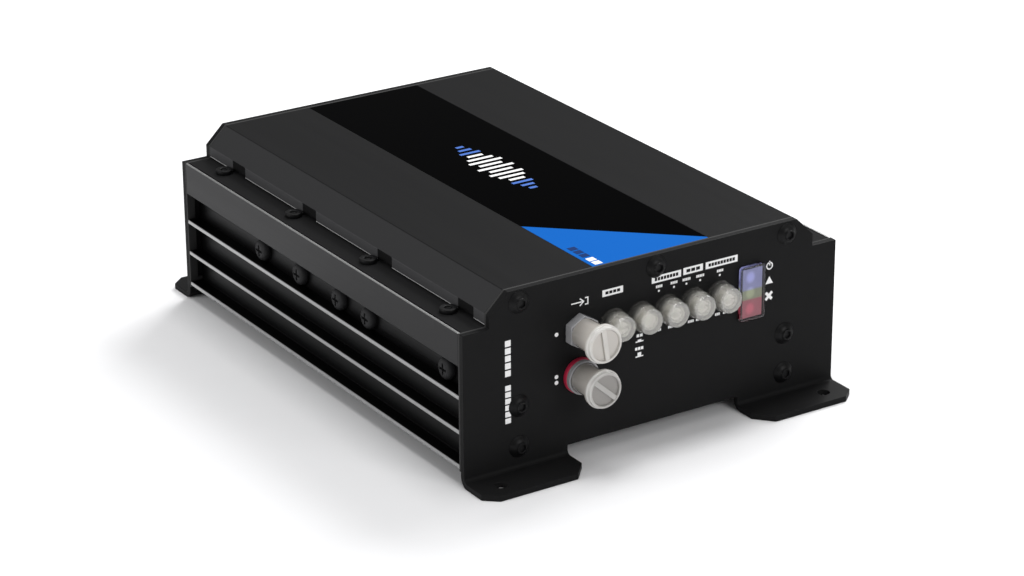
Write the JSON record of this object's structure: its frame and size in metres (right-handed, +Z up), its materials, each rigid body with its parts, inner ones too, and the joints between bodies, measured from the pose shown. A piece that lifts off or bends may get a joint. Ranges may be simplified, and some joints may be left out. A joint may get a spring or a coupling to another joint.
{
  "type": "car audio amplifier",
  "caption": "Compact car audio amplifier with finned aluminium sides, hat-section cover, steel end plates with mounting feet, capped input jacks and rotary controls, rear wire terminals.",
  "frame": {"origin": "centre of the four mounting-foot holes, on the underside of the feet", "axes": "+X to the right along the control panel, the control panel faces -Y, +Z up from the mounting surface"},
  "size_m": [0.145, 0.2147, 0.0629],
  "materials": {
    "coated_steel": "satin black powder coat, fine texture",
    "anodised_sides": "black anodised extrusion, drawn lines along its length",
    "anodised_cover": "black anodised extrusion, satin",
    "gloss_strip": "gloss black, with a blue corner at the front",
    "seal_rubber": "matte black",
    "black_screws": "black oxide",
    "plated_steel": "nickel plated",
    "circuit_board": "green solder mask",
    "black_moulding": "fine spark texture",
    "pad_silicone": "matte grey-white",
    "ferrite": "fired ferrite, matte",
    "copper": "enamelled copper",
    "capacitor_sleeve": "shrink sleeve",
    "pale_nut": "pale grey moulding",
    "red_moulding": "red moulding",
    "gold_contact": "gold flash",
    "clear_silicone": "cloudy translucent silicone",
    "white_moulding": "white moulding",
    "clear_window": "clear moulding over the status lights",
    "led_lens": "tinted lenses, lit",
    "brass": "plain brass"
  },
  "bodies": {
    "chassis": {"front_plate": "coated_steel", "rear_plate": "coated_steel", "heatsink_left": "anodised_sides", "heatsink_right": "anodised_sides", "top_cover": "anodised_cover", "bottom_plate": "anodised_cover", "top_strip": "gloss_strip", "front_gasket": "seal_rubber", "rear_gasket": "seal_rubber", "front_panel_screws": "black_screws", "rear_panel_screws": "black_screws", "cover_screws": "black_screws", "bottom_screws": "black_screws", "device_screws": "black_screws", "board_screws": "plated_steel", "main_board": "circuit_board", "control_board": "circuit_board", "board_link": "black_moulding", "clamp_bars": "plated_steel", "thermal_pads": "pad_silicone", "power_transistors": "black_moulding", "transformer_core": "ferrite", "transformer_winding": "copper", "choke_cores": "ferrite", "choke_windings": "copper", "supply_capacitors": "capacitor_sleeve", "input_jack_block": "black_moulding", "jack_nut_left": "pale_nut", "jack_washer_right": "red_moulding", "jack_nut_right": "pale_nut", "jack_barrels": "plated_steel", "jack_contacts": "gold_contact", "potentiometers": "black_moulding", "switch_body": "black_moulding", "status_window": "clear_window", "status_leds": "led_lens", "terminal_block": "black_moulding", "terminal_bars": "copper"},
    "jack_cap_left": {"jack_cap_left": "clear_silicone"},
    "jack_cap_right": {"jack_cap_right": "clear_silicone"},
    "gain_cover": {"gain_cover": "clear_silicone"},
    "switch_cover": {"switch_cover": "clear_silicone"},
    "subsonic_cover": {"subsonic_cover": "clear_silicone"},
    "lowpass_cover": {"lowpass_cover": "clear_silicone"},
    "bass_cover": {"bass_cover": "clear_silicone"},
    "gain_shaft": {"gain_shaft": "white_moulding"},
    "switch_button": {"switch_button": "white_moulding"},
    "subsonic_shaft": {"subsonic_shaft": "white_moulding"},
    "lowpass_shaft": {"lowpass_shaft": "white_moulding"},
    "bass_shaft": {"bass_shaft": "white_moulding"},
    "terminal_screw_1": {"terminal_screw_1": "plated_steel"},
    "wire_clamp_1": {"wire_clamp_1": "brass"},
    "terminal_screw_2": {"terminal_screw_2": "plated_steel"},
    "wire_clamp_2": {"wire_clamp_2": "brass"},
    "terminal_screw_3": {"terminal_screw_3": "plated_steel"},
    "wire_clamp_3": {"wire_clamp_3": "brass"},
    "terminal_screw_4": {"terminal_screw_4": "plated_steel"},
    "wire_clamp_4": {"wire_clamp_4": "brass"},
    "terminal_screw_5": {"terminal_screw_5": "plated_steel"},
    "wire_clamp_5": {"wire_clamp_5": "brass"}
  },
  "joints": [
    {"name": "jack_cap_left_pull", "type": "slide", "parent": "chassis", "child": "jack_cap_left", "axis": [0, -1, 0], "range_m": [0, 0.012]},
    {"name": "jack_cap_right_pull", "type": "slide", "parent": "chassis", "child": "jack_cap_right", "axis": [0, -1, 0], "range_m": [0, 0.012]},
    {"name": "gain_cover_pull", "type": "slide", "parent": "chassis", "child": "gain_cover", "axis": [0, -1, 0], "range_m": [0, 0.01]},
    {"name": "switch_cover_pull", "type": "slide", "parent": "chassis", "child": "switch_cover", "axis": [0, -1, 0], "range_m": [0, 0.01]},
    {"name": "subsonic_cover_pull", "type": "slide", "parent": "chassis", "child": "subsonic_cover", "axis": [0, -1, 0], "range_m": [0, 0.01]},
    {"name": "lowpass_cover_pull", "type": "slide", "parent": "chassis", "child": "lowpass_cover", "axis": [0, -1, 0], "range_m": [0, 0.01]},
    {"name": "bass_cover_pull", "type": "slide", "parent": "chassis", "child": "bass_cover", "axis": [0, -1, 0], "range_m": [0, 0.01]},
    {"name": "gain_turn", "type": "hinge", "parent": "chassis", "child": "gain_shaft", "pos_m": [-0.0165, -0.0975, 0.0434], "axis": [0, 1, 0], "range_deg": [-150, 150]},
    {"name": "switch_press", "type": "slide", "parent": "chassis", "child": "switch_button", "axis": [0, 1, 0], "range_m": [0, 0.002], "stiffness_N_per_m": 500},
    {"name": "subsonic_turn", "type": "hinge", "parent": "chassis", "child": "subsonic_shaft", "pos_m": [0.0043, -0.0975, 0.0434], "axis": [0, 1, 0], "range_deg": [-150, 150]},
    {"name": "lowpass_turn", "type": "hinge", "parent": "chassis", "child": "lowpass_shaft", "pos_m": [0.0147, -0.0975, 0.0434], "axis": [0, 1, 0], "range_deg": [-150, 150]},
    {"name": "bass_turn", "type": "hinge", "parent": "chassis", "child": "bass_shaft", "pos_m": [0.0251, -0.0975, 0.0434], "axis": [0, 1, 0], "range_deg": [-150, 150]},
    {"name": "terminal_screw_1_turn", "type": "hinge", "parent": "chassis", "child": "terminal_screw_1", "pos_m": [-0.026, 0.0975, 0.045], "axis": [0, 0, 1], "range_deg": [-1710, 0]},
    {"name": "terminal_screw_2_turn", "type": "hinge", "parent": "chassis", "child": "terminal_screw_2", "pos_m": [-0.013, 0.0975, 0.045], "axis": [0, 0, 1], "range_deg": [-1710, 0]},
    {"name": "terminal_screw_3_turn", "type": "hinge", "parent": "chassis", "child": "terminal_screw_3", "pos_m": [0, 0.0975, 0.045], "axis": [0, 0, 1], "range_deg": [-1710, 0]},
    {"name": "terminal_screw_4_turn", "type": "hinge", "parent": "chassis", "child": "terminal_screw_4", "pos_m": [0.013, 0.0975, 0.045], "axis": [0, 0, 1], "range_deg": [-1710, 0]},
    {"name": "terminal_screw_5_turn", "type": "hinge", "parent": "chassis", "child": "terminal_screw_5", "pos_m": [0.026, 0.0975, 0.045], "axis": [0, 0, 1], "range_deg": [-1710, 0]},
    {"name": "wire_clamp_1_rise", "type": "slide", "parent": "chassis", "child": "wire_clamp_1", "axis": [0, 0, 1], "range_m": [0, 0.00379]},
    {"name": "wire_clamp_2_rise", "type": "slide", "parent": "chassis", "child": "wire_clamp_2", "axis": [0, 0, 1], "range_m": [0, 0.00379]},
    {"name": "wire_clamp_3_rise", "type": "slide", "parent": "chassis", "child": "wire_clamp_3", "axis": [0, 0, 1], "range_m": [0, 0.00379]},
    {"name": "wire_clamp_4_rise", "type": "slide", "parent": "chassis", "child": "wire_clamp_4", "axis": [0, 0, 1], "range_m": [0, 0.00379]},
    {"name": "wire_clamp_5_rise", "type": "slide", "parent": "chassis", "child": "wire_clamp_5", "axis": [0, 0, 1], "range_m": [0, 0.00379]}
  ],
  "couplings": [
    {"joint": "terminal_screw_1_turn", "follows": "wire_clamp_1_rise", "rad_per_m": -7854},
    {"joint": "terminal_screw_2_turn", "follows": "wire_clamp_2_rise", "rad_per_m": -7854},
    {"joint": "terminal_screw_3_turn", "follows": "wire_clamp_3_rise", "rad_per_m": -7854},
    {"joint": "terminal_screw_4_turn", "follows": "wire_clamp_4_rise", "rad_per_m": -7854},
    {"joint": "terminal_screw_5_turn", "follows": "wire_clamp_5_rise", "rad_per_m": -7854}
  ]
}
